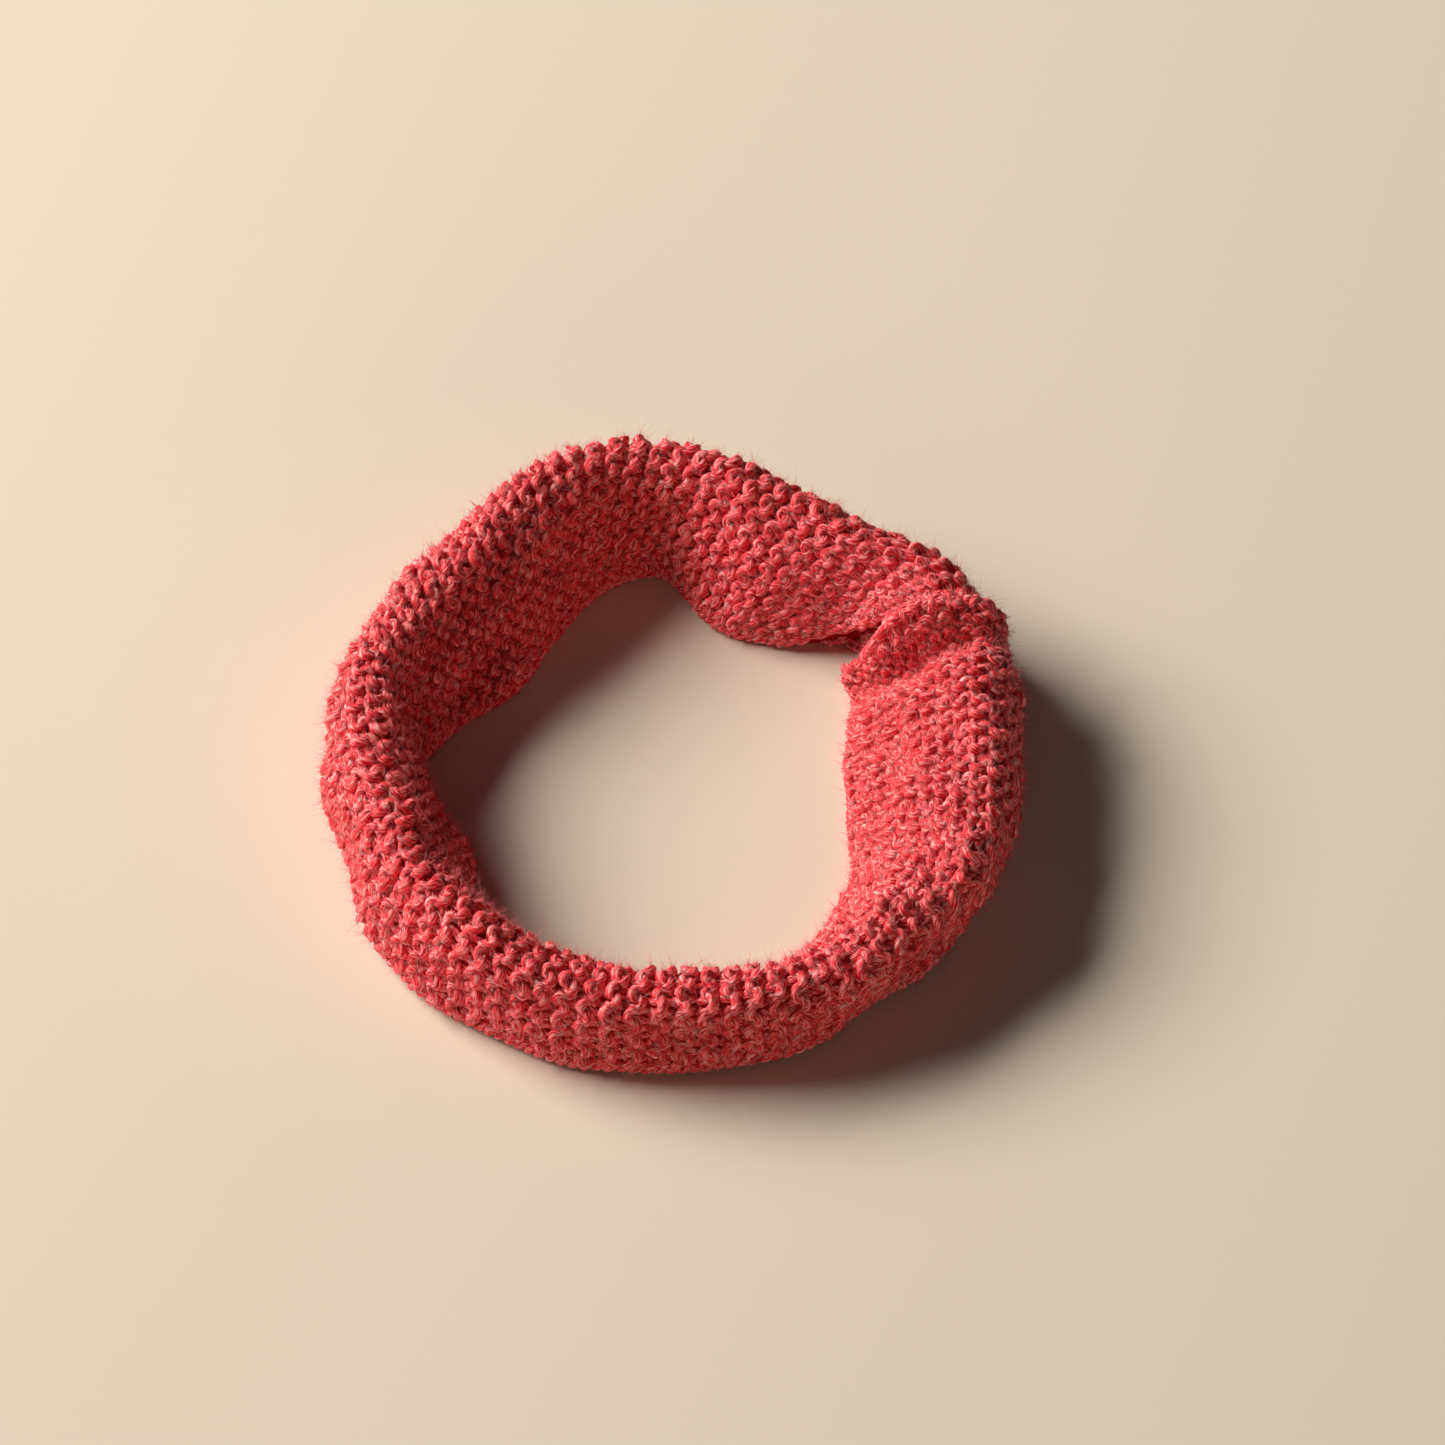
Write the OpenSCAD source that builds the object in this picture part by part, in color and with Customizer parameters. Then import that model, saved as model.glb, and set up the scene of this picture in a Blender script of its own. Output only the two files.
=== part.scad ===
// Hand-knitted headband: one strip of garter stitch, about 80 mm wide, sewn end to end into a ring.
// It lies folded over lengthwise: its inner edge rests on the table, the strip rises outwards to a
// rounded crest, and its outer edge comes down again on the outside.

/* [Knitting] */
// Thickness of the knitted fabric
fabric_t = 5.4; // [4:0.1:6.5]
// Diameter of the chained edge along each long side of the strip
selvedge_d = 4; // [3:0.1:5]
// Clearance between neighbouring solids
gap = 0.2; // [0.1:0.05:0.4]

/* [Seam] */
// Width of each short end edge, measured round the ring
end_edge_w = 2.6; // [1.5:0.1:4]
// How far the two end edges stand up above the fabric
seam_rise = 2.4; // [0:0.1:4]
// Diameter of the sewing yarn
sewing_d = 2.2; // [1.2:0.1:3]
// Number of whip stitches across the strip
whip_count = 12; // [6:1:16]

/* [Lie of the ring] */
// Scale of the ring seen from above
plan_scale = 1; // [0.9:0.01:1.1]
// Scale of the height of the crest
height_scale = 1; // [0.9:0.01:1.1]
// Roundness of the fold outside its crest, as the pull of the curve there
crest_pull = 28; // [16:1:34]
// Breadth of the fold inside its crest, as the most that the curve is pulled there
crest_breadth = 50; // [30:1:60]

/* [Hidden] */

strip_parts = 98;     // slices of fabric round the ring
leg_parts = 6;        // slices across each leg of the fold
tube_sides = 8;       // sides of a yarn tube
yarn_color = "#C6414B";
edge_color = "#B83742";
seam_color = "#D75A60";

lean_pull = 1.1;      // pull of the curve at the inner edge, in lengths of the inner leg
inner_rise = 14;      // upward pull of the curve at the inner edge
breadth_share = 1.45; // pull of the curve inside the crest, in level lengths of the inner leg
outer_drop = 22;      // downward pull of the curve at the outer edge
rest_lift = 0.4;      // room under the inner edge
seam_spacing = 16;    // distance between stations beside the seam
whip_from = 0.22;     // places of the first and last whip stitch across the strip
whip_to = 1.12;
whip_slant = 0.03;    // how far a whip stitch leans across the strip

// Stations round the ring, anticlockwise from the seam, each one:
// inner edge x, y; crest of the fold x, y, height; outer edge's reach beyond the crest, and its height
stations = [
    [47, 47, 74, 52, 34, 10, 5],
    [42, 57, 66, 63, 34, 9, 5],
    [26, 60, 54, 71, 35, 6, 5],
    [11, 66, 33, 84, 36, 6, 5],
    [-5, 86, 8, 99, 37, 3, 5],
    [-22, 81, -16, 103, 38, 3, 5],
    [-33, 65, -37, 95, 38, 4, 5],
    [-46, 42, -56, 75, 37, 7, 5],
    [-64, 25, -73, 52, 36, 9, 5],
    [-73, 10, -85, 27, 35, 10, 5],
    [-67, -6, -88, 0, 34, 8, 4],
    [-58, -27, -81, -30, 33, 8, 4],
    [-57, -45, -73, -54, 33, 9, 4],
    [-45, -61, -56, -74, 32, 10, 4],
    [-24, -74, -32, -90, 29, 9, 4],
    [4, -78, 2, -96, 28, 7, 4],
    [30, -69, 34, -90, 28, 4, 5],
    [43, -48, 59, -73, 30, 1, 6],
    [48, -30, 76, -51, 31, 2, 6],
    [47, -8, 84, -22, 32, 5, 6],
    [46, 12, 85, 7, 33, 7, 6],
    [47, 30, 83, 32, 34, 9, 6],
];

count = len(stations);
half_t = fabric_t / 2;
edge_z = half_t + rest_lift;

function unit(v) = v / norm(v);
function at(i) = stations[(i + count) % count];
// A smooth curve from b to c, with a before them and d after
function between(a, b, c, d, t) =
    0.5 * (2 * b + (c - a) * t + (2 * a - 5 * b + 4 * c - d) * t * t + (3 * b - a - 3 * c + d) * t * t * t);
// A smooth curve from p0 to p1 that starts along t0 and ends along t1
function curve(p0, t0, p1, t1, k) =
    (2 * k * k * k - 3 * k * k + 1) * p0 + (k * k * k - 2 * k * k + k) * t0
    + (3 * k * k - 2 * k * k * k) * p1 + (k * k * k - k * k) * t1;

// The station at place s, counted in stations from the seam
function station(s) =
    let (w = (s + count) % count, i = floor(w)) between(at(i - 1), at(i), at(i + 1), at(i + 2), w - i);
// The fold at place s: its inner edge, crest and outer edge, and the way outwards
function fold(s) =
    let (q = station(s),
         inner = [q[0] * plan_scale, q[1] * plan_scale, edge_z],
         crest = [q[2] * plan_scale, q[3] * plan_scale, q[4] * height_scale],
         out = unit([crest[0] - inner[0], crest[1] - inner[1], 0]),
         outer = [crest[0], crest[1], q[6]] + out * q[5])
    [inner, crest, outer, out];
function inner_pull(f) = (f[1] - f[0]) * lean_pull + [0, 0, inner_rise];
function crest_inside(f) = f[3] * min(crest_breadth, breadth_share * ((f[1] - f[0]) * f[3]));
function outer_pull(f) = (f[2] - f[1]) * 0.3 - [0, 0, outer_drop];
// Middle of the fabric at place s round the ring and k across it, from 0 inside to 2 outside
function middle(s, k) =
    let (f = fold(s))
    k <= 1 ? curve(f[0], inner_pull(f), f[1], crest_inside(f), k)
    : curve(f[1], f[3] * crest_pull, f[2], outer_pull(f), k - 1);
// The way across the fabric, and the way out of its upper face
function across(s, k) = unit(middle(s, min(k + 0.01, 2)) - middle(s, max(k - 0.01, 0)));
function upward(s, k) = let (a = across(s, k), out = fold(s)[3]) [-a[2] * out[0], -a[2] * out[1], a * out];
// Places across the fabric that lie a distance in from its inner and its outer edge
function from_inner(s, mm) = mm / norm(inner_pull(fold(s)));
function from_outer(s, mm) = 2 - mm / norm(outer_pull(fold(s)));

function steps_across(s) =
    let (low = from_inner(s, selvedge_d + gap), high = from_outer(s, selvedge_d + gap))
    [for (i = [0:leg_parts]) low + (1 - low) * i / leg_parts,
     for (i = [1:leg_parts]) 1 + (high - 1) * i / leg_parts];
// How much of the seam's rise is left at place k: all of it on the inner leg, little past the crest
function rise_left(k) = max(0.15, min(1, (1.2 - k) / 0.3));
// One slice of fabric as a closed loop: outwards over its upper face, then back under its lower face
function slice(s, rise) =
    let (ks = steps_across(s), n = len(ks))
    concat([for (k = ks) middle(s, k) + upward(s, k) * (half_t + rise * rise_left(k))],
           [for (i = [n - 1:-1:0]) middle(s, ks[i]) - upward(s, ks[i]) * half_t]);

// The whole part is moved to stand on z = 0 with its box centred on the z axis
places = [for (i = [0:strip_parts - 1]) count * i / strip_parts];
skin = [for (s = places) each slice(s, 0)];
inner_line = [for (s = places) middle(s, from_inner(s, selvedge_d / 2))];
outer_line = [for (s = places) middle(s, from_outer(s, selvedge_d / 2))];
box_x = [for (p = skin) p[0]];
box_y = [for (p = skin) p[1]];
box_z = concat([for (p = skin) p[2]], [for (p = inner_line) p[2] - selvedge_d / 2]);
shift = -[(min(box_x) + max(box_x)) / 2, (min(box_y) + max(box_y)) / 2, min(box_z)];

// A closed solid through loops that all have the same number of points, joined in a ring or capped
module loft(loops, joined) {
    m = len(loops[0]);
    n = len(loops);
    top = (n - 1) * m;
    sides = [for (j = [0:joined ? n - 1 : n - 2], i = [0:m - 1])
        let (a = j * m, b = ((j + 1) % n) * m, c = (i + 1) % m)
        each [[a + i, b + i, b + c], [a + i, b + c, a + c]]];
    caps = joined ? [] : [for (i = [0:m / 2 - 2])
        let (c = m - 1 - i)
        each [[i, i + 1, c], [i + 1, c - 1, c], [top + i, top + c, top + i + 1],
              [top + i + 1, top + c, top + c - 1]]];
    translate(shift) polyhedron([for (l = loops) each l], concat(sides, caps), convexity = 10);
}

// Loops of points round a path, for a yarn tube of radius r
function tube(path, r, joined) =
    let (n = len(path))
    [for (i = [0:n - 1])
        let (before = joined ? path[(i + n - 1) % n] : path[max(i - 1, 0)],
             after = joined ? path[(i + 1) % n] : path[min(i + 1, n - 1)],
             way = unit(after - before),
             a = unit(cross(way, abs(way[2]) > 0.9 ? [1, 0, 0] : [0, 0, 1])),
             b = cross(a, way))
        [for (t = [0:tube_sides - 1])
            path[i] + r * (a * cos(360 * t / tube_sides) + b * sin(360 * t / tube_sides))]];

// A stretch of the strip between two places round the ring
module strip(from, to, parts, rise) {
    loft([for (i = [0:parts]) slice(from + (to - from) * i / parts, rise)], false);
}

edge_start = gap / 2 / seam_spacing;
edge_end = (gap / 2 + end_edge_w) / seam_spacing;
band_start = (gap * 1.5 + end_edge_w) / seam_spacing;

module knitted_band() {
    color(yarn_color) strip(band_start, count - band_start, strip_parts, 0);
}

// The chained edge that lies on the table, round the opening
module inner_selvedge() {
    color(edge_color) loft(tube(inner_line, selvedge_d / 2, true), true);
}

// The chained edge that comes down on the outside
module outer_selvedge() {
    color(edge_color) loft(tube(outer_line, selvedge_d / 2, true), true);
}

// The first row of the strip, turned up beside the seam
module cast_on_edge() {
    color(edge_color) strip(edge_start, edge_end, 2, seam_rise);
}

// The last row of the strip, turned up against the first
module bind_off_edge() {
    color(edge_color) strip(count - edge_end, count - edge_start, 2, seam_rise);
}

// Path of one whip stitch, from beside one end edge over both to beside the other
function whip_path(k) =
    let (r = sewing_d / 2, side = (end_edge_w + gap + r) / seam_spacing,
         low = half_t + gap + r, high = low + seam_rise * rise_left(k))
    [for (p = [[-1, low], [-1, high * 0.8], [-0.7, high], [0, high + 0.3], [0.7, high], [1, high * 0.8], [1, low]])
        middle(p[0] * side, k + p[0] * whip_slant) + upward(p[0] * side, k + p[0] * whip_slant) * p[1]];

// The yarn that sews the two ends together, as one arch for each whip stitch
module seam_stitches() {
    color(seam_color) for (i = [0:whip_count - 1])
        loft(tube(whip_path(whip_from + (whip_to - whip_from) * i / (whip_count - 1)), sewing_d / 2, false), false);
}

knitted_band();
inner_selvedge();
outer_selvedge();
cast_on_edge();
bind_off_edge();
seam_stitches();
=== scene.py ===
import math
import bpy
import numpy as np
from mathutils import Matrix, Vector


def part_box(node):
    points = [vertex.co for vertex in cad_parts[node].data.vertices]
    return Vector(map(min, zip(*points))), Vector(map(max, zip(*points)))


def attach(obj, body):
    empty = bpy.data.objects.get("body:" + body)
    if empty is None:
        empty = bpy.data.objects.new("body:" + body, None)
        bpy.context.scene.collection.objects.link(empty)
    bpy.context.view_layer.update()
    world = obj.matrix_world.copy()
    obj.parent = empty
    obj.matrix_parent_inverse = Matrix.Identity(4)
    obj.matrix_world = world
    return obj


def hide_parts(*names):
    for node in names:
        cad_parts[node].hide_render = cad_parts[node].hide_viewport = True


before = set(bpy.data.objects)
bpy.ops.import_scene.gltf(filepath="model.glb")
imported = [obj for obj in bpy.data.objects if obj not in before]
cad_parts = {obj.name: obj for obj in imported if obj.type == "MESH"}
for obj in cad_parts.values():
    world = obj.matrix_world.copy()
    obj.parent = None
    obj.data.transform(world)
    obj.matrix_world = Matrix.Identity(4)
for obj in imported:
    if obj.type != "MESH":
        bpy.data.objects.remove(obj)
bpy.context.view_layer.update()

# Hand-knitted ear-warmer headband: a garter stitch strip sewn into a ring, folded over as it lies.
# Sizes are in metres; "place" runs round the ring in stations, "across" runs over the fold.
mmPerMetre = 1000

cameraView = {
    "aim": (0.0134, 0.0278, 0.0),   # the spot on the floor that it looks at
    "height": 46,                   # degrees above the floor
    "distance": 3.08,
    "lens": 274.05,
    "sensor": 36,                   # millimetres, as the lens
}


def addCamera(v):
    tilt = math.radians(v["height"])
    bpy.ops.object.camera_add(
        location=(v["aim"][0], v["aim"][1] - v["distance"] * math.cos(tilt), v["distance"] * math.sin(tilt)),
        rotation=(math.radians(90 - v["height"]), 0, 0))
    camera = bpy.context.object
    camera.data.sensor_width = v["sensor"]
    camera.data.lens = v["lens"]
    camera.data.clip_end = 20
    bpy.context.scene.camera = camera


bpy.ops.object.select_all(action="DESELECT")
addCamera(cameraView)
print("camera ready")

# A plain matt floor, a warm key light from behind on the left and a low fill from the front
studio = {
    "floorColor": "#DCD6CB",
    "floorSize": 8,
    "keyColor": "#FFF2E4",
    "keyPower": 290,
    "keyFrom": (-2.90, 1.24, 2.00),   # where the key light stands
    "keyWide": 2.8,
    "keyTall": 1.7,
    "fillColor": "#FFD9BE",
    "fillPower": 25,
    "fillFrom": (0.30, -3.00, 0.42),   # low in front, so that the wool in shade stays red
    "fillSize": 1.6,
    "skyColor": "#F3DFCC",
    "skyStrength": 0.022,
}


def linear(hexColor, alpha=1):
    values = [int(hexColor[i:i + 2], 16) / 255 for i in (1, 3, 5)]
    return [c / 12.92 if c <= 0.04045 else ((c + 0.055) / 1.055) ** 2.4 for c in values] + [alpha]


def addNode(tree, kind, settings=None, values=None, links=None):
    node = tree.nodes.new(kind)
    for name, value in (settings or {}).items():
        setattr(node, name, value)
    for name, value in (values or {}).items():
        node.inputs[name].default_value = value
    for name, source in (links or {}).items():
        tree.links.new(source, node.inputs[name])
    return node


def newMaterial(name):
    material = bpy.data.materials.new(name)
    material.use_nodes = True
    material.node_tree.nodes.clear()
    return material, material.node_tree


def addStudio(s):
    bpy.ops.mesh.primitive_plane_add(size=s["floorSize"], location=(0, 0, 0))
    floor = bpy.context.object
    floor.name = "paleFloor"
    # matt paper, which spreads the light evenly and doesn't shine
    material, tree = newMaterial("paperFloor")
    shader = addNode(tree, "ShaderNodeBsdfPrincipled",
                     values={"Base Color": linear(s["floorColor"]), "Roughness": 1.0,
                             "Specular IOR Level": 0.0})
    addNode(tree, "ShaderNodeOutputMaterial", links={"Surface": shader.outputs[0]})
    floor.data.materials.append(material)

    bpy.ops.object.light_add(type="AREA", location=s["keyFrom"])
    key = bpy.context.object
    key.data.energy = s["keyPower"]
    key.data.color = linear(s["keyColor"])[:3]
    key.data.shape = "RECTANGLE"
    key.data.size = s["keyWide"]
    key.data.size_y = s["keyTall"]
    away = key.location.normalized()
    key.rotation_euler = away.to_track_quat("Z", "Y").to_euler()

    bpy.ops.object.light_add(type="AREA", location=s["fillFrom"])
    fill = bpy.context.object
    fill.name = "fillLight"
    fill.data.size = s["fillSize"]
    fill.data.energy = s["fillPower"]
    fill.data.color = linear(s["fillColor"])[:3]
    away = fill.location.normalized()
    fill.rotation_euler = away.to_track_quat("Z", "Y").to_euler()

    world = bpy.data.worlds.new("studioAir")
    bpy.context.scene.world = world
    world.use_nodes = True
    world.node_tree.nodes.clear()
    sky = addNode(world.node_tree, "ShaderNodeBackground",
                  values={"Color": linear(s["skyColor"]), "Strength": s["skyStrength"]})
    addNode(world.node_tree, "ShaderNodeOutputWorld", links={"Surface": sky.outputs[0]})


addStudio(studio)
bpy.context.scene.view_settings.view_transform = "Standard"
print("studio ready")

# The lie of the ring: at each station a curve runs from the inner edge over the crest to the outer edge
ring = {
    "crestPull": 0.028,      # roundness of the fold outside its crest
    "crestBreadth": 0.050,   # breadth of the fold inside its crest, at the most
    "breadthShare": 1.45,    # that breadth in level lengths of the inner leg
    "innerRise": 0.014,      # upward pull at the inner edge
    "leanPull": 1.1,         # pull along the inner leg, in its own lengths
    "outerDrop": 0.022,      # downward pull at the outer edge
    "outerPull": 0.3,        # pull along the outer leg, in its own lengths
    "fabricHalf": 0.0027,    # half of the fabric's thickness
    "restLift": 0.0004,      # room under the inner edge
    # millimetres: inner edge x, y; crest x, y, height; outer edge's reach beyond the crest, and its height
    "stations": [
        (47, 47, 74, 52, 34, 10, 5), (42, 57, 66, 63, 34, 9, 5), (26, 60, 54, 71, 35, 6, 5),
        (11, 66, 33, 84, 36, 6, 5), (-5, 86, 8, 99, 37, 3, 5), (-22, 81, -16, 103, 38, 3, 5),
        (-33, 65, -37, 95, 38, 4, 5), (-46, 42, -56, 75, 37, 7, 5), (-64, 25, -73, 52, 36, 9, 5),
        (-73, 10, -85, 27, 35, 10, 5), (-67, -6, -88, 0, 34, 8, 4), (-58, -27, -81, -30, 33, 8, 4),
        (-57, -45, -73, -54, 33, 9, 4), (-45, -61, -56, -74, 32, 10, 4), (-24, -74, -32, -90, 29, 9, 4),
        (4, -78, 2, -96, 28, 7, 4), (30, -69, 34, -90, 28, 4, 5), (43, -48, 59, -73, 30, 1, 6),
        (48, -30, 76, -51, 31, 2, 6), (47, -8, 84, -22, 32, 5, 6), (46, 12, 85, 7, 33, 7, 6),
        (47, 30, 83, 32, 34, 9, 6)],
}

stations = np.array(ring["stations"]) / mmPerMetre
stationCount = len(stations)


def unit(v):
    return v / np.linalg.norm(v, axis=-1, keepdims=True)


def station(place):
    # a smooth curve through the stations
    w = np.mod(place, stationCount)
    i = np.floor(w).astype(int)
    t = (w - i)[..., None]
    a, b, c, d = [stations[(i + k) % stationCount] for k in (-1, 0, 1, 2)]
    return 0.5 * (2 * b + (c - a) * t + (2 * a - 5 * b + 4 * c - d) * t ** 2
                  + (3 * b - a - 3 * c + d) * t ** 3)


def curve(p0, t0, p1, t1, k):
    # from p0 along t0 to p1 along t1
    return ((2 * k ** 3 - 3 * k ** 2 + 1) * p0 + (k ** 3 - 2 * k ** 2 + k) * t0
            + (3 * k ** 2 - 2 * k ** 3) * p1 + (k ** 3 - k ** 2) * t1)


def fold(place):
    q = station(place)
    edgeHeight = np.full(q.shape[:-1], ring["fabricHalf"] + ring["restLift"])
    inner = np.stack([q[..., 0], q[..., 1], edgeHeight], -1)
    crest = q[..., 2:5]
    out = unit((crest - inner) * (1, 1, 0))
    outer = np.stack([crest[..., 0], crest[..., 1], q[..., 6]], -1) + out * q[..., 5:6]
    return inner, crest, outer, out


def middle(place, across):
    inner, crest, outer, out = fold(place)
    k = across[..., None]
    level = ((crest - inner) * out).sum(-1, keepdims=True)
    rise = (crest - inner) * ring["leanPull"] + np.array([0, 0, ring["innerRise"]])
    inside = out * np.minimum(ring["crestBreadth"], ring["breadthShare"] * level)
    outside = out * ring["crestPull"]
    drop = (outer - crest) * ring["outerPull"] - np.array([0, 0, ring["outerDrop"]])
    first = curve(inner, rise, crest, inside, np.minimum(k, 1))
    second = curve(crest, outside, outer, drop, np.maximum(k, 1) - 1)
    return np.where(k <= 1, first, second)


def upward(place, across):
    # the way out of the fabric's upper face
    out = fold(place)[3]
    a = unit(middle(place, np.minimum(across + 0.01, 2)) - middle(place, np.maximum(across - 0.01, 0)))
    rise = (a * out).sum(-1)
    return np.stack([-a[..., 2] * out[..., 0], -a[..., 2] * out[..., 1], rise], -1)


# A grid of the fabric's mid surface: even steps of knitting round the ring and of width across it
surface = {
    "round": 880,
    "wide": 121,
    "fineRound": 3520,               # steps that the even ones are measured on
    "fineWide": 401,
    "measuredAt": (0.3, 0.7, 1.1),   # lines across the fold whose mean is the length round the ring
}


def evenly(values, lengths, steps):
    total = np.concatenate([[0], np.cumsum(lengths)])
    return np.interp(np.linspace(0, total[-1], steps), total, values)


def buildSurface(s):
    finePlaces = np.linspace(0, stationCount, s["fineRound"] + 1)
    spans = 0
    for across in s["measuredAt"]:
        line = middle(finePlaces, np.full(len(finePlaces), across))
        spans = spans + np.linalg.norm(np.diff(line, axis=0), axis=1)
    places = evenly(finePlaces, spans, s["round"] + 1)
    fineAcross = np.linspace(0, 2, s["fineWide"])
    points, ups, widths = [], [], []
    for place in places:
        line = middle(np.full(s["fineWide"], place), fineAcross)
        steps = np.linalg.norm(np.diff(line, axis=0), axis=1)
        across = evenly(fineAcross, steps, s["wide"])
        points.append(middle(np.full(s["wide"], place), across))
        ups.append(upward(np.full(s["wide"], place), across))
        widths.append(steps.sum())
    return np.array(points), np.array(ups), np.array(widths), spans.sum() / len(s["measuredAt"]), places


points, ups, widths, midLength, rowPlaces = buildSurface(surface)
cadLow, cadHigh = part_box("knitted_band")
skin = np.concatenate([points + ups * ring["fabricHalf"], points - ups * ring["fabricHalf"]]).reshape(-1, 3)
skinMiddle = (skin.min(0) + skin.max(0)) / 2
cadMiddle = (np.array(cadLow) + np.array(cadHigh)) / 2   # the surface is set where the CAD band lies
points = points + (cadMiddle - skinMiddle) * (1, 1, 0) + (0, 0, cadHigh[2] - skin[:, 2].max())
print("strip: mid length %.3f, width %.3f to %.3f" % (midLength, widths.min(), widths.max()))


def onSurface(along, wide, grid):
    # along 0..1 round the ring from the seam, wide 0..1 from the inner edge to the outer edge
    a = np.mod(along + seamLean(along, wide) / midLength, 1) * surface["round"]
    b = np.clip(wide, 0, 1) * (surface["wide"] - 1)
    i = np.minimum(a.astype(int), surface["round"] - 1)
    j = np.minimum(b.astype(int), surface["wide"] - 2)
    fa = (a - i)[..., None]
    fb = (b - j)[..., None]
    return ((grid[i, j] * (1 - fa) + grid[i + 1, j] * fa) * (1 - fb)
            + (grid[i, j + 1] * (1 - fa) + grid[i + 1, j + 1] * fa) * fb)


# How the fabric stands above or below its smooth lie. The sewn ends stand up in a thick ridge. Next to
# it, anticlockwise, the inner edge is drawn up from the floor towards the ridge, over a pocket.
# Places are metres anticlockwise from the seam, and shares are of the strip's width.
seamRelief = {
    "ridge": 0.0068,        # how far the ridge stands up
    "ridgeAt": -0.0040,
    "ridgeWide": 0.0040,
    "valley": 0.0086,       # how deep the valley on its other side is
    "valleyAt": -0.0130,
    "valleyWide": 0.0068,
    "full": 1.6,            # ridge and valley fade outwards: their share is full less fade times the width,
    "fade": 1.7,            # but never over 1, nor under the least
    "least": 0.18,
    "innerShare": 0.20,     # what is left of that share at the inner edge itself
    "innerWide": 0.45,      # and how slowly it comes back from there
    "drawnUp": 0.38,        # how far the inner edge is drawn up, as a share of the strip's width
    "drawnLong": 0.0240,    # how far from the seam it comes back to the floor
    "drawnStart": 0.001,    # how far past the seam, on its other side, it is let go
    "drawnEase": 1.6,       # how quickly the knitting beyond the edge takes up the pull
    "lip": 0.0042,          # how far the drawn edge stands up
    "lipAt": 0.011,
    "lipLong": 0.010,
    "lipWide": 0.30,        # it fades outwards over this width, and keeps to the inner part of the strip
    "lipShare": 1.1,
    "lipFade": 0.5,
    "pocket": 0.0074,       # how deep the fabric under it lies
    "pocketBlend": 0.06,
    "pocketLeast": 0.02,    # where the edge is drawn up less than this, the pocket is shallower
    "groundDrop": 0.001,    # how much deeper the inside of the fabric lies there
    "lean": -0.0070,        # how far the sewn line leans round the ring on its way up
    "leanOver": 0.25,       # the share of the width that it takes to lean
    "leanLong": 0.036,      # how far from the seam the knitting leans with it
}
# Slow waves that make the whole strip a little uneven
unevenness = {"seed": 3, "waves": 24, "fewest": 3, "most": 19, "slope": 5, "height": 0.0002}
waveRng = np.random.default_rng(unevenness["seed"])
waveTurns = waveRng.integers(unevenness["fewest"], unevenness["most"], unevenness["waves"])
waveAcross = waveRng.uniform(-unevenness["slope"], unevenness["slope"], unevenness["waves"])
wavePhase = waveRng.uniform(0, 2 * math.pi, unevenness["waves"])


def hump(x, middleX, half):
    return np.exp(-((x - middleX) / half) ** 2)


def fromSeam(along):
    # metres anticlockwise from the seam, negative on its other side
    return np.where(along > 0.5, along - 1, along) * midLength


def seamLean(along, wide):
    r = seamRelief
    t = np.clip(wide / r["leanOver"], 0, 1)
    return r["lean"] * t * t * (3 - 2 * t) * hump(fromSeam(along), 0, r["leanLong"])


def drawnShare(along):
    # 1 at the seam, 0 where the drawn edge is back on the floor, and 0 on the seam's other side
    r = seamRelief
    x = fromSeam(along)
    t = np.clip(1 - x / r["drawnLong"], 0, 1) * np.clip(x / r["drawnStart"] + 1, 0, 1)
    return t * t * (3 - 2 * t)


def drawn(along, wide):
    r = seamRelief
    return wide + r["drawnUp"] * drawnShare(along) * np.clip(1 - wide, 0, 1) ** r["drawnEase"]


def relief(along, wide):
    r = seamRelief
    x = fromSeam(along)
    outwards = np.clip(r["full"] - wide * r["fade"], r["least"], 1)
    near = outwards * np.clip(r["innerShare"] + wide / r["innerWide"], 0, 1)
    inside = np.clip(r["lipShare"] - wide / r["lipFade"], 0, 1)
    rise = r["ridge"] * hump(x, r["ridgeAt"], r["ridgeWide"]) * near
    rise = rise - r["valley"] * hump(x, r["valleyAt"], r["valleyWide"]) * near
    edge = np.clip(1 - (wide - r["drawnUp"] * drawnShare(along)) / r["lipWide"], 0, 1)
    rise = rise + r["lip"] * hump(x, r["lipAt"], r["lipLong"]) * edge * inside
    for turns, slope, start in zip(waveTurns, waveAcross, wavePhase):
        rise = rise + unevenness["height"] * np.sin(2 * math.pi * (turns * along + slope * wide) + start)
    return rise


def pocketShare(along, wide):
    # 1 under the drawn edge, 0 elsewhere
    r = seamRelief
    reach = r["drawnUp"] * drawnShare(along)
    return np.clip((reach - wide) / r["pocketBlend"] + 0.5, 0, 1) * np.clip(reach / r["pocketLeast"], 0, 1)


def innerRelief(along, wide):
    # the lie of what is inside the fabric, which stays low in the pocket
    under = pocketShare(along, wide)
    return relief(along, wide) * (1 - under) - (seamRelief["pocket"] + seamRelief["groundDrop"]) * under


def evenRows(steps, wide):
    # rows lie evenly over the ridge and its valley, which take more of the strip than its smooth lie
    along = np.linspace(0, 1, steps + 1)
    height = relief(along, np.full(steps + 1, wide))
    height[-1] = height[0]
    spans = np.hypot(midLength / steps, np.diff(height))
    length = np.concatenate([[0], np.cumsum(spans)])
    return length / length[-1], along


rowSteps = evenRows(steps=4000, wide=0.3)

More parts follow.
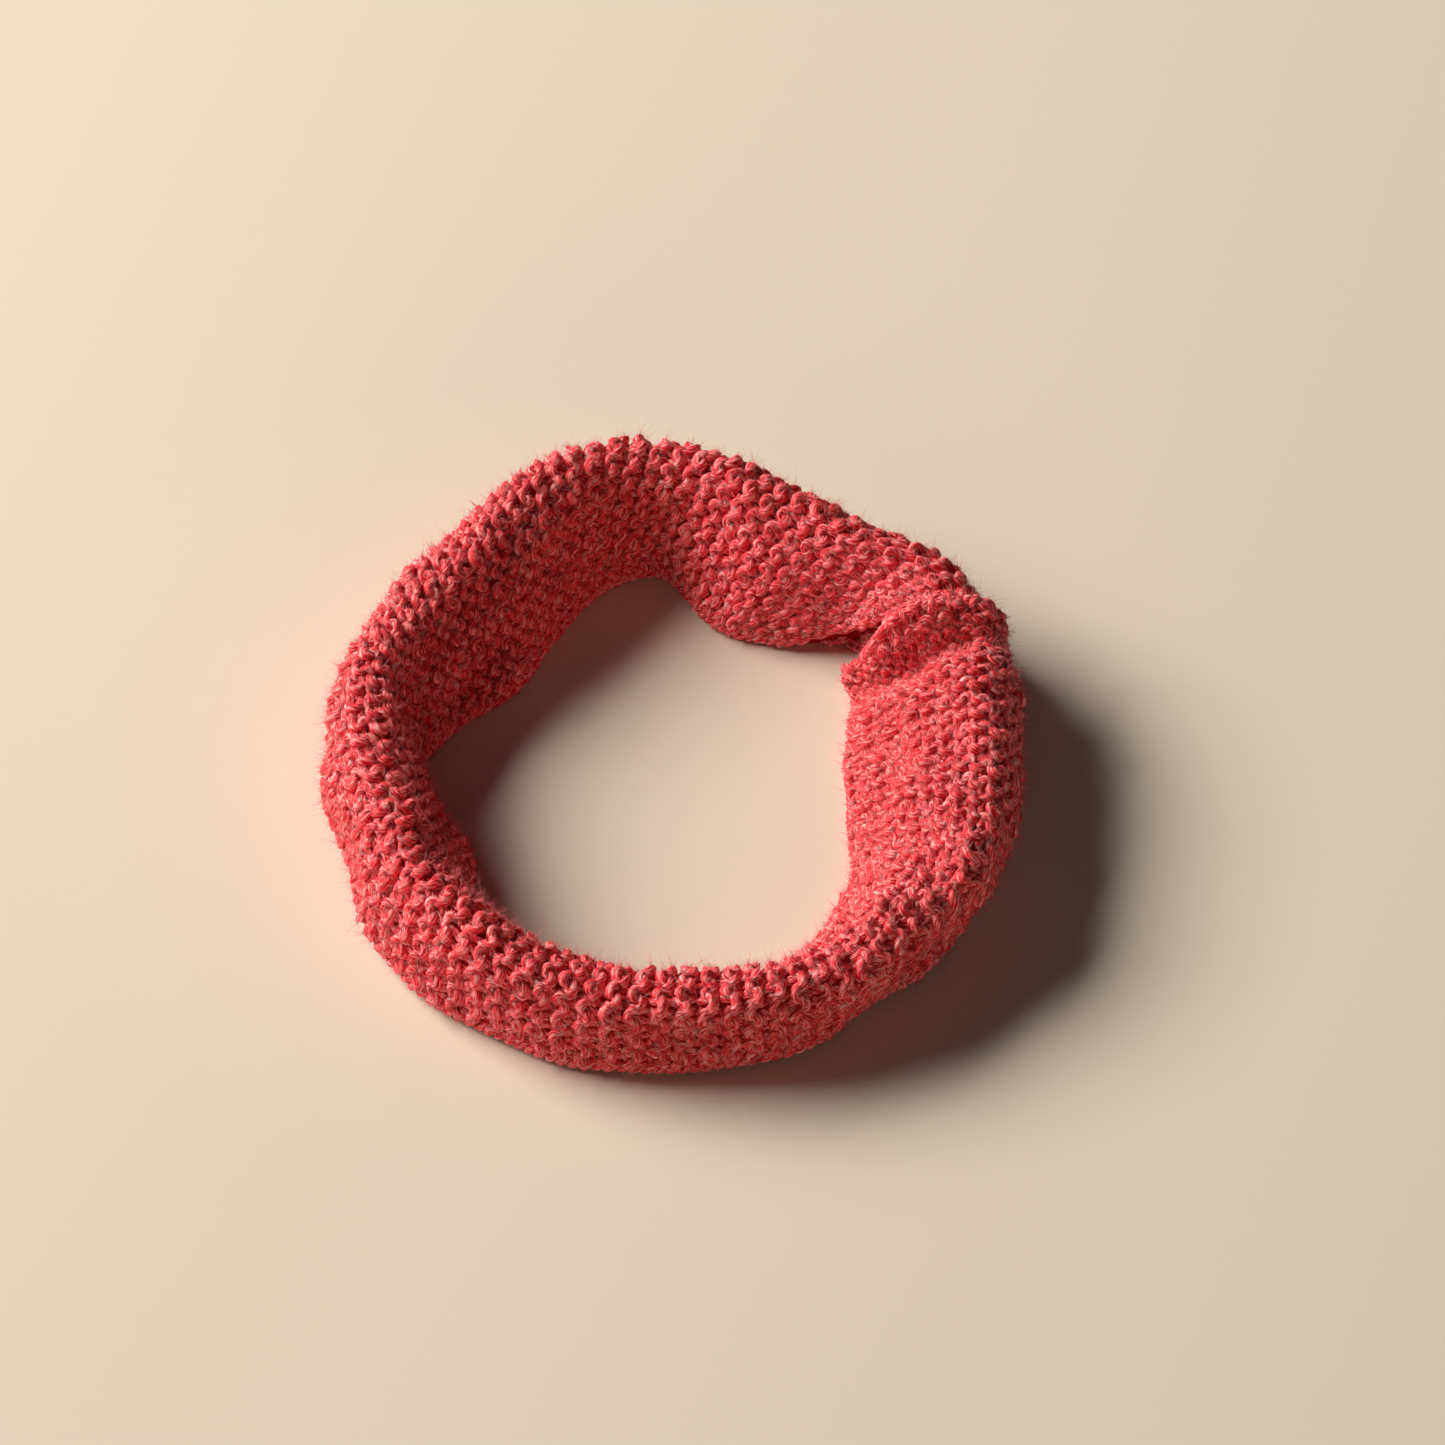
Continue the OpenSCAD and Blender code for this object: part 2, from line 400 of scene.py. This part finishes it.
knitting = {
    "rows": 188,
    "stitchWide": (4.7, 4.9, 5.1, 5.2, 5.2, 5.2, 5.2, 5.3, 5.3, 5.3, 5.3, 5.3, 5.3, 5.4, 5.5, 5.5,
                   5.4, 5.1, 4.8, 4.7, 4.7, 4.7),   # mm at the inner edge, at each station
    "innerShare": 0.92,     # width of the stitches at the inner edge, as a share of the widths above
    "spread": 0.22,         # what they gain on the way out, over half as many stitches as spreadOver
    "spreadOver": 40,
    "mostStitches": 25,     # stitches that a row starts with, before it is cut at the outer edge
    "loopHeight": 1.84,     # height of a loop, in rows
    "loopEase": 0.10,       # how quickly the yarn passes the head and the foot of a loop
    "loopBulge": 0.112,     # how far a loop's head spreads, in stitch widths
    "loopDepth": 0.0016,    # how far loops stand in front of and behind the mid surface
    "bulgeVaries": 0.35,    # unevenness of the loops, as shares
    "wideVaries": 0.06,
    "heightVaries": 0.11,
    "depthVaries": 0.28,
    "yarnRadius": 0.00138,
    "plies": 3,
    "plyTwist": 0.0125,     # length of one turn of the plies
    "plyDepth": 0.19,       # how deep the grooves between the plies are
    "steps": 18,            # sections of yarn in one stitch
    "sides": 9,
    "panelRows": 24,
    "rowYarn": 0.4,         # yarn in a row, which sets where the next one's plies and shades start
    "pocketRows": 9,        # rows of the fabric that shows in the pocket beside the seam
    "pocketRoom": 0.06,     # how far they go on under the drawn edge, as a share of the strip's width
    "pocketYarn": 0.3,
    "edgeRoom": 0.0026,     # width of the chained edges
    "seed": 7,
}


def aboveFloor(path, room):
    return np.stack([path[..., 0], path[..., 1], np.maximum(path[..., 2], room)], -1)


def yarnTube(path, up, radius, lengthStart, k):
    # the section has a lobe for each ply, and they turn as the yarn runs on
    way = unit(np.gradient(path, axis=0))
    side = unit(np.cross(way, up))
    top = np.cross(side, way)
    run = lengthStart + np.concatenate([[0], np.cumsum(np.linalg.norm(np.diff(path, axis=0), axis=1))])
    turn = 2 * math.pi * run / k["plyTwist"]
    angle = np.linspace(0, 2 * math.pi, k["sides"], endpoint=False)
    at = angle[None, :] + turn[:, None]
    lobes = 1 + k["plyDepth"] * np.cos(k["plies"] * angle)
    r = np.broadcast_to(np.asarray(radius), (len(path),))[:, None] * lobes[None, :]
    rings = (path[:, None, :] + (np.cos(at) * r)[..., None] * top[:, None, :]
             + (np.sin(at) * r)[..., None] * side[:, None, :])
    # each spot's place in the yarn: round the section, and along it in millimetres
    fibre = np.stack([np.broadcast_to(np.cos(angle), at.shape), np.broadcast_to(np.sin(angle), at.shape),
                      np.broadcast_to(run[:, None] * mmPerMetre, at.shape)], -1)
    return rings, fibre


def tubeFaces(n, sides, start):
    i = np.arange(n - 1)[:, None] * sides
    j = np.arange(sides)[None, :]
    nextJ = (j + 1) % sides
    quads = np.stack([i + j, i + sides + j, i + sides + nextJ, i + nextJ], -1).reshape(-1, 4) + start
    return quads[:, ::-1]


def yarnPiece(name, paths, k, radius=None):
    # paths is a list of (path, up, length at its start)
    radius = radius or k["yarnRadius"]
    verts, fibres, quads, capTris, count = [], [], [], [], 0
    for path, up, lengthStart in paths:
        path = aboveFloor(path, radius * (1 + k["plyDepth"]))
        rings, fibre = yarnTube(path, up, radius, lengthStart, k)
        n, sides = rings.shape[:2]
        verts.append(rings.reshape(-1, 3))
        fibres.append(fibre.reshape(-1, 3))
        quads.append(tubeFaces(n, sides, count))
        # closed ends
        tips = np.array([path[0], path[-1]])
        verts.append(tips)
        fibres.append(np.array([[0, 0, lengthStart * mmPerMetre], [0, 0, fibre[-1, 0, 2]]]))
        base = count + n * sides
        j = np.arange(sides)
        nextJ = (j + 1) % sides
        capTris.append(np.stack([count + j, count + nextJ, np.full(sides, base)], -1)[:, ::-1])
        last = count + (n - 1) * sides
        capTris.append(np.stack([last + j, last + nextJ, np.full(sides, base + 1)], -1))
        count = base + 2
    return meshPiece(name, np.concatenate(verts), np.concatenate(quads), np.concatenate(capTris),
                     np.concatenate(fibres))


def meshPiece(name, verts, quads, tris, fibre=None):
    mesh = bpy.data.meshes.new(name)
    loops = np.concatenate([quads.ravel(), tris.ravel()]).astype(np.int32)
    starts = np.concatenate([np.arange(len(quads)) * 4, quads.size + np.arange(len(tris)) * 3])
    mesh.vertices.add(len(verts))
    mesh.vertices.foreach_set("co", verts.astype(np.float32).ravel())
    mesh.loops.add(len(loops))
    mesh.loops.foreach_set("vertex_index", loops)
    mesh.polygons.add(len(starts))
    mesh.polygons.foreach_set("loop_start", starts.astype(np.int32))
    mesh.update(calc_edges=True)
    mesh.polygons.foreach_set("use_smooth", np.ones(len(starts), bool))
    if fibre is not None:
        layer = mesh.attributes.new("fibre", "FLOAT_VECTOR", "POINT")
        layer.data.foreach_set("vector", fibre.astype(np.float32).ravel())
    mesh.update()
    piece = bpy.data.objects.new(name, mesh)
    bpy.context.scene.collection.objects.link(piece)
    return piece


rng = np.random.default_rng(knitting["seed"])


def rowPath(row, k, inPocket=False):
    # one row of loops across the strip, as a path of points with the way out of the fabric at each
    share = np.interp((row + 0.5) / k["rows"], *rowSteps)
    place = np.interp(share * surface["round"], np.arange(surface["round"] + 1), rowPlaces)
    fabricWide = np.interp(share * surface["round"], np.arange(surface["round"] + 1), widths)
    stitchWide = np.append(k["stitchWide"], k["stitchWide"][0])
    stitch = np.interp(place, np.arange(stationCount + 1), stitchWide) / mmPerMetre
    t = np.linspace(0, k["mostStitches"], k["mostStitches"] * k["steps"] + 1)
    phase = 2 * math.pi * t
    phase = phase - k["loopEase"] * np.sin(2 * phase)
    knots = np.arange(0, k["mostStitches"] * 2 + 1) / 2
    jitter = [np.interp(t, knots, rng.normal(0, 1, len(knots))) for _ in range(4)]
    face = 1 if row % 2 == 0 else -1
    bulge = k["loopBulge"] * (1 + k["bulgeVaries"] * jitter[0])
    wide = phase / (2 * math.pi) + bulge * np.sin(2 * phase) + k["wideVaries"] * jitter[1]
    reach = stitch * (wide * k["innerShare"] + k["spread"] * wide ** 2 / k["spreadOver"])
    keep = reach < fabricWide - 2 * k["edgeRoom"]
    if inPocket:
        keep = reach < fabricWide * (k["pocketRoom"] + seamRelief["drawnUp"] * drawnShare(share))
    height = k["loopHeight"] / 2 * (1 + k["heightVaries"] * jitter[2])
    along = row + 0.5 - height * np.cos(phase)
    depth = -face * np.cos(phase) * k["loopDepth"] * (1 + k["depthVaries"] * jitter[3])
    alongShare = np.interp((along / k["rows"])[keep], *rowSteps)
    wideShare = ((k["edgeRoom"] + reach) / fabricWide)[keep]
    if not inPocket:
        wideShare = drawn(alongShare, wideShare)
    base = onSurface(alongShare, wideShare, points)
    up = unit(onSurface(alongShare, wideShare, ups))
    lie = -seamRelief["pocket"] if inPocket else relief(alongShare, wideShare)
    return base + up * (depth[keep] + lie)[:, None], up, depth[keep]


rowPaths = []


def knitPanels(k):
    pieces = []
    for first in range(0, k["rows"], k["panelRows"]):
        paths = []
        for row in range(first, min(first + k["panelRows"], k["rows"])):
            path, up, depth = rowPath(row, k)
            rowPaths.append((path, up, depth))
            paths.append((path, up, row * k["rowYarn"]))
        if first == 0:
            for row in range(k["pocketRows"]):
                path, up, depth = rowPath(row, k, inPocket=True)
                paths.append((path, up, row * k["pocketYarn"]))
        pieces.append(yarnPiece("garterPanel%d" % (first // k["panelRows"] + 1), paths, k))
    return pieces


panels = knitPanels(knitting)
print("knitted", len(panels), "panels")

# The thin inside of the fabric, between the loops of its two faces
groundLayer = {
    "half": 0.0003,     # half of its thickness
    "round": 440,
    "wide": 41,
    "endRoom": 0.002,   # shares of the strip that it leaves free at the seam and along the edges
    "sideRoom": 0.03,
    "lift": 0.0014,     # its least height over the floor
}


def groundSheet(g):
    along = np.linspace(g["endRoom"], 1 - g["endRoom"], g["round"])
    wide = np.linspace(g["sideRoom"], 1 - g["sideRoom"], g["wide"])
    a, w = np.meshgrid(along, wide, indexing="ij")
    up = unit(onSurface(a, w, ups))
    base = aboveFloor(onSurface(a, w, points) + up * innerRelief(a, w)[..., None], g["lift"])
    top = (base + up * g["half"]).reshape(-1, 3)
    low = (base - up * g["half"]).reshape(-1, 3)
    n, m = g["round"], g["wide"]
    i, j = np.meshgrid(np.arange(n - 1), np.arange(m - 1), indexing="ij")
    v = (i * m + j).ravel()
    upper = np.stack([v, v + m, v + m + 1, v + 1], -1)
    lower = upper[:, ::-1] + n * m
    rim = np.concatenate([np.arange(m), np.arange(1, n) * m + m - 1,
                          (n - 1) * m + np.arange(m - 2, -1, -1), np.arange(n - 2, 0, -1) * m])
    nextRim = np.roll(rim, -1)
    sides = np.stack([rim, nextRim, nextRim + n * m, rim + n * m], -1)
    return meshPiece("fabricGround", np.concatenate([top, low]), np.concatenate([upper, lower, sides]),
                     np.zeros((0, 3), int))


ground = groundSheet(groundLayer)
print("ground made")

# The chained edges along both long sides: two strands of yarn that cross once in every ridge
chainEdge = {
    "thick": 0.00115,     # radius of a strand
    "across": 0.00115,    # how far the strands swing apart, across the edge and up and down
    "rise": 0.00085,
    "steps": 14,
    "inset": 0.0020,      # from the strip's edge to the middle of the chain
    "endRoom": 0.004,
    "loose": 0.00018,     # unevenness of its height
    "strandYarn": 3.0,    # where the second strand's plies and shades start
    "nearIn": 0.005,      # two spots across the strip that give the way outwards
    "nearOut": 0.02,
}


def chainPath(c, side, strand):
    ridges = knitting["rows"] // 2
    n = ridges * c["steps"]
    along = np.linspace(c["endRoom"], 1 - c["endRoom"], n)
    turn = math.pi * (along * ridges * 2 + strand)
    fabricWide = np.interp(along * surface["round"], np.arange(surface["round"] + 1), widths)
    inset = c["inset"] / fabricWide
    share = drawn(along, inset) if side == "inner" else 1 - inset
    up = unit(onSurface(along, share, ups))
    base = onSurface(along, share, points)
    outer = onSurface(along, np.clip(share + c["nearOut"], 0, 1), points)
    out = unit(outer - onSurface(along, share - c["nearIn"], points))
    loose = np.interp(along * ridges, np.arange(ridges + 1), rng.normal(0, c["loose"], ridges + 1))
    lift = relief(along, share) + c["rise"] * np.sin(turn) + loose
    path = base + up * lift[:, None] + out * (c["across"] * np.cos(turn))[:, None]
    return path, up, strand * c["strandYarn"]


def edgePiece(name, side):
    paths = [chainPath(chainEdge, side, strand) for strand in (0, 1)]
    return yarnPiece(name, paths, knitting, chainEdge["thick"])


innerEdge = edgePiece("innerSelvedge", "inner")
outerEdge = edgePiece("outerSelvedge", "outer")
print("edges made")

# The seam: two rolled end edges side by side, and the yarn that whips them together
seam = {
    "bindFrom": 0.03,       # places across the strip where the end edges begin, and where both end
    "castFrom": 0.38,
    "to": 0.93,
    "roll": 0.00135,        # radius of a strand of the end edges
    "rollRise": 0.0022,     # how far they stand up, at their highest
    "rollSink": 0.0012,
    "apart": 0.0017,        # from the seam to the middle of each
    "swing": 0.0009,        # how far their two strands swing round each other
    "loose": 0.0003,        # their unevenness, and the number of spots that it changes at
    "looseSpots": 30,
    "rollFull": 1.5,        # they are lower towards the outer edge, and start low at the inner one
    "rollLeast": 0.45,
    "rollStart": 0.2,
    "chains": 20,
    "steps": 12,
    "strandYarn": 2.0,      # where the second strand's plies and shades start
    "stitches": 8,          # whip stitches, and the places of the first and last one
    "stitchFrom": 0.38,
    "stitchTo": 0.80,
    "stitchShift": 0.3,     # how far a stitch strays, in spaces between stitches
    "stitchSteps": 18,
    "reach": 0.0042,        # how far a stitch reaches on each side of the seam
    "reachVaries": 0.0008,
    "slantLeast": 0.010,    # how far it leans across the strip
    "slantMost": 0.030,
    "arch": 0.0032,         # how high it stands over the ridge
    "archWide": 0.95,
    "archSink": 0.0004,
    "sewingYarn": 40,       # where its plies and shades start, and how much yarn a stitch takes
    "stitchYarn": 0.1,
    "thick": 0.0010,
}


def seamSpot(offset, wide):
    # a spot beside the seam, offset in metres round the ring
    along = np.where(offset >= 0, offset / midLength, 1 + offset / midLength)
    up = unit(onSurface(along, wide, ups))
    return onSurface(along, wide, points) + up * relief(along, wide)[..., None], up


def rolledEdge(name, s, sign):
    paths = []
    for strand in (0, 1):
        n = s["chains"] * s["steps"]
        wide = np.linspace(s["castFrom"] if sign > 0 else s["bindFrom"], s["to"], n)
        turn = math.pi * (np.linspace(0, s["chains"], n) * 2 + strand)
        spots = np.linspace(0, n, s["looseSpots"])
        loose = np.interp(np.arange(n), spots, rng.normal(0, s["loose"], s["looseSpots"]))
        base, up = seamSpot(sign * (s["apart"] + s["swing"] * np.cos(turn)) + loose, wide)
        start = np.clip(s["rollStart"] + wide / s["rollStart"], 0, 1)
        fade = np.clip(s["rollFull"] - wide, s["rollLeast"], 1) * start
        lift = (s["rollRise"] * fade - s["rollSink"]) + s["swing"] * np.sin(turn) + loose
        paths.append((base + up * lift[:, None], up, strand * s["strandYarn"] + sign))
    return yarnPiece(name, paths, knitting, s["roll"])


castOn = rolledEdge("castOnEdge", seam, 1)
bindOff = rolledEdge("bindOffEdge", seam, -1)


def whipStitches(name, s):
    paths = []
    for i in range(s["stitches"]):
        step = i + rng.uniform(-s["stitchShift"], s["stitchShift"])
        wide = s["stitchFrom"] + (s["stitchTo"] - s["stitchFrom"]) * step / (s["stitches"] - 1)
        t = np.linspace(-1, 1, s["stitchSteps"])
        reach = s["reach"] + rng.uniform(-s["reachVaries"], s["reachVaries"])
        slant = rng.uniform(s["slantLeast"], s["slantMost"])
        base, up = seamSpot(t * reach, np.clip(wide + t * slant, 0.01, 0.99))
        lift = s["arch"] * np.sqrt(np.clip(1 - (s["archWide"] * t) ** 2, 0, 1)) - s["archSink"]
        paths.append((base + up * lift[:, None], up, s["sewingYarn"] + i * s["stitchYarn"]))
    return yarnPiece(name, paths, knitting, s["thick"])


sewing = whipStitches("whipStitches", seam)
print("seam made")

# The wool's halo: fine fibres that stand out of the yarn
halo = {
    "fibres": 76000,
    "perPiece": 19000,
    "thick": 0.00006,        # radius at the root
    "thickVaries": (0.7, 1.3),
    "taper": 0.75,           # how much of it is lost on the way to the tip
    "short": 0.0010,
    "long": 0.0048,
    "mostlyShort": 2.2,      # higher leaves fewer long fibres
    "rootDepth": 0.6,        # where a fibre starts, in radii of the yarn
    "innerRoom": 0.0004,     # how far behind the mid surface fibres still start
    "outwards": (0.1, 1.0),  # how far fibres point outwards, against how far they stray and bend
    "stray": 0.55,
    "bend": 0.75,
    "steps": 2,
    "lift": 0.0002,          # least height over the floor
    "seed": 11,
}


def haloPieces(h):
    r = np.random.default_rng(h["seed"])
    starts = np.concatenate([p for p, u, d in rowPaths])
    outs = np.concatenate([u * np.sign(d)[:, None] for p, u, d in rowPaths])
    weight = np.concatenate([np.maximum(d + h["innerRoom"], 0) for p, u, d in rowPaths])
    weight = weight / weight.sum()
    n = h["fibres"]
    steps = h["steps"]
    sides = 3   # a fibre has three sides, because one triangle closes its root
    pick = r.choice(len(starts), n, p=weight)
    root = starts[pick] + outs[pick] * knitting["yarnRadius"] * h["rootDepth"]
    way = unit(outs[pick] * r.uniform(*h["outwards"], (n, 1)) + r.normal(0, h["stray"], (n, 3)))
    bend = r.normal(0, h["bend"], (n, 3))
    length = h["short"] + (h["long"] - h["short"]) * r.random((n, 1)) ** h["mostlyShort"]
    t = np.linspace(0, 1, steps + 1)
    spine = np.stack([root + length * (way * x + bend * x * x * 0.5) for x in t], 1)
    spine[..., 2] = np.maximum(spine[..., 2], h["lift"])
    side = unit(np.cross(way, r.normal(0, 1, (n, 3))))
    top = np.cross(side, way)
    angle = np.arange(sides) * 2 * math.pi / sides
    corners = (np.cos(angle)[None, None, :, None] * side[:, None, None, :]
               + np.sin(angle)[None, None, :, None] * top[:, None, None, :])
    taper = (1 - h["taper"] * t)[None, :steps, None, None]
    thick = h["thick"] * r.uniform(*h["thickVaries"], (n, 1, 1, 1)) * taper
    rings = spine[:, :steps, None, :] + corners * thick
    verts = np.concatenate([rings.reshape(n, steps * sides, 3), spine[:, steps:, :]], 1)
    last = (steps - 1) * sides
    tip = steps * sides
    ends = [(j, (j + 1) % sides) for j in range(sides)]
    quads = np.array([(i + j, i + k, i + sides + k, i + sides + j)
                      for i in range(0, last, sides) for j, k in ends])
    tris = np.array([(last + j, last + k, tip) for j, k in ends] + [(2, 1, 0)])
    shade = np.repeat(r.random((n, 1)), tip + 1, 1)
    pieces = []
    for first in range(0, n, h["perPiece"]):
        part = verts[first:first + h["perPiece"]]
        m = len(part)
        offset = (np.arange(m) * (tip + 1))[:, None, None]
        partQuads = (quads[None] + offset).reshape(-1, 4)
        partTris = (tris[None] + offset).reshape(-1, 3)
        tone = shade[first:first + m].reshape(-1, 1) * (1, 1, 1)
        name = "woolHalo%d" % (len(pieces) + 1)
        pieces.append(meshPiece(name, part.reshape(-1, 3), partQuads, partTris, tone))
    return pieces


halos = haloPieces(halo)
print("halo made")

# Three shades of one red wool, the palest of them partly painted highlight. Patterns on the yarn are in
# millimetres along it and in radii round it.
wool = {
    "deep": "#B6001C",              # the darkest fibres in the heather
    "deepAt": 0.38,
    "middle": "#F83648",
    "middleAt": 0.49,
    # the palest fibres: partly heather and partly painted highlight, pale streaks that stand in for glints
    # along the plies
    "light": "#FFB4B8",
    "lightAt": 0.63,
    "streaks": (2.4, 2.4, 0.55),    # streaks of one shade are about 2 mm long
    "hair": 3.2,                    # single fibres, drawn coarser than real ones so that they show
    "hairDepth": 0.0004,
    "roughness": 0.44,
    "specular": 0.34,
    "glow": 0.8,                    # how much of the light passes through the yarn
    "glowReach": (1.0, 0.45, 0.40),
    "glowScale": 0.0008,
}
looseFibres = {"deep": "#CC2438", "light": "#FF9CA0", "roughness": 0.5}
# the inside of the fabric, painted darker than the yarn as shade for the gaps between the loops; its mottle
# is random
groundWoolShade = {"deep": "#60000A", "light": "#A80C1C", "mottle": 900, "specular": 0.1}   # blotches of about 1 mm


def woolMaterial(name, w):
    # heathered worsted wool, three plies: matt, with lighter and darker fibres along each ply. Its palest
    # streaks are partly painted highlight, standing in for fibres that glint.
    material, tree = newMaterial(name)
    fibre = addNode(tree, "ShaderNodeAttribute", {"attribute_name": "fibre"})
    streaks = addNode(tree, "ShaderNodeMapping", values={"Scale": w["streaks"]},
                      links={"Vector": fibre.outputs["Vector"]})
    heatherAndGlints = addNode(tree, "ShaderNodeTexNoise", values={"Scale": 1.0, "Detail": 3.0, "Roughness": 0.6},
                      links={"Vector": streaks.outputs[0]})
    color = addNode(tree, "ShaderNodeValToRGB", links={"Fac": heatherAndGlints.outputs["Fac"]})
    color.color_ramp.elements[0].position = w["deepAt"]
    color.color_ramp.elements[0].color = linear(w["deep"])
    color.color_ramp.elements[1].position = w["lightAt"]
    color.color_ramp.elements[1].color = linear(w["light"])
    mid = color.color_ramp.elements.new(w["middleAt"])
    mid.color = linear(w["middle"])
    hair = addNode(tree, "ShaderNodeTexNoise", values={"Scale": w["hair"], "Detail": 2.0},
                   links={"Vector": streaks.outputs[0]})
    bump = addNode(tree, "ShaderNodeBump", values={"Strength": 0.8, "Distance": w["hairDepth"]},
                   links={"Height": hair.outputs["Fac"]})
    shader = addNode(tree, "ShaderNodeBsdfPrincipled",
                     values={"Roughness": w["roughness"], "Specular IOR Level": w["specular"],
                             "Subsurface Weight": w["glow"], "Subsurface Radius": w["glowReach"],
                             "Subsurface Scale": w["glowScale"]},
                     links={"Base Color": color.outputs["Color"], "Normal": bump.outputs["Normal"]})
    addNode(tree, "ShaderNodeOutputMaterial", links={"Surface": shader.outputs[0]})
    return material


def haloMaterial(name, w):
    # single wool fibres: thin, pale and a little glossy where they catch the light
    material, tree = newMaterial(name)
    tone = addNode(tree, "ShaderNodeAttribute", {"attribute_name": "fibre"})
    color = addNode(tree, "ShaderNodeValToRGB", links={"Fac": tone.outputs["Fac"]})
    color.color_ramp.elements[0].color = linear(w["deep"])
    color.color_ramp.elements[1].color = linear(w["light"])
    shader = addNode(tree, "ShaderNodeBsdfPrincipled", values={"Roughness": w["roughness"]},
                     links={"Base Color": color.outputs["Color"]})
    addNode(tree, "ShaderNodeOutputMaterial", links={"Surface": shader.outputs[0]})
    return material


def groundShadeMaterial(name, w):
    # the wool inside the fabric, between the loops, always in their shade: its colour is painted shade,
    # darker than the yarn's, with a random mottle
    material, tree = newMaterial(name)
    place = addNode(tree, "ShaderNodeTexCoord")
    mottle = addNode(tree, "ShaderNodeTexNoise", values={"Scale": w["mottle"], "Detail": 2.0},
                     links={"Vector": place.outputs["Object"]})
    mix = addNode(tree, "ShaderNodeValToRGB", links={"Fac": mottle.outputs["Fac"]})
    mix.color_ramp.elements[0].color = linear(w["deep"])
    mix.color_ramp.elements[1].color = linear(w["light"])
    shader = addNode(tree, "ShaderNodeBsdfPrincipled",
                     values={"Roughness": 1.0, "Specular IOR Level": w["specular"]},
                     links={"Base Color": mix.outputs["Color"]})
    addNode(tree, "ShaderNodeOutputMaterial", links={"Surface": shader.outputs[0]})
    return material


# the yarn's wool: random heather with painted highlight in its palest streaks
woolYarn = woolMaterial("heatherAndGlintWool", wool)
# the inside of the fabric gets a darker wool: painted shade
woolGround = groundShadeMaterial("groundWoolPaintedShade", groundWoolShade)

for piece in panels:
    piece.data.materials.append(woolYarn)
    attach(piece, "root")
    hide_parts("knitted_band")
ground.data.materials.append(woolGround)
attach(ground, "root")
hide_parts("knitted_band")

yarnEdges = [
    (innerEdge, "inner_selvedge", "edge_yarn"),
    (outerEdge, "outer_selvedge", "edge_yarn"),
    (castOn, "cast_on_edge", "edge_yarn"),
    (bindOff, "bind_off_edge", "edge_yarn"),
    (sewing, "seam_stitches", "sewing_yarn"),
]
for piece, node, slot in yarnEdges:
    piece.data.materials.append(woolYarn)
    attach(piece, "root")
    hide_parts(node)
woolFibres = haloMaterial("looseWoolFibres", looseFibres)
for piece in halos:
    piece.data.materials.append(woolFibres)
    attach(piece, "root")

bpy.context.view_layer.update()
meshes = [o.data for o in bpy.data.objects if o.type == "MESH"]
print("triangles", sum(len(p.vertices) - 2 for mesh in meshes for p in mesh.polygons))
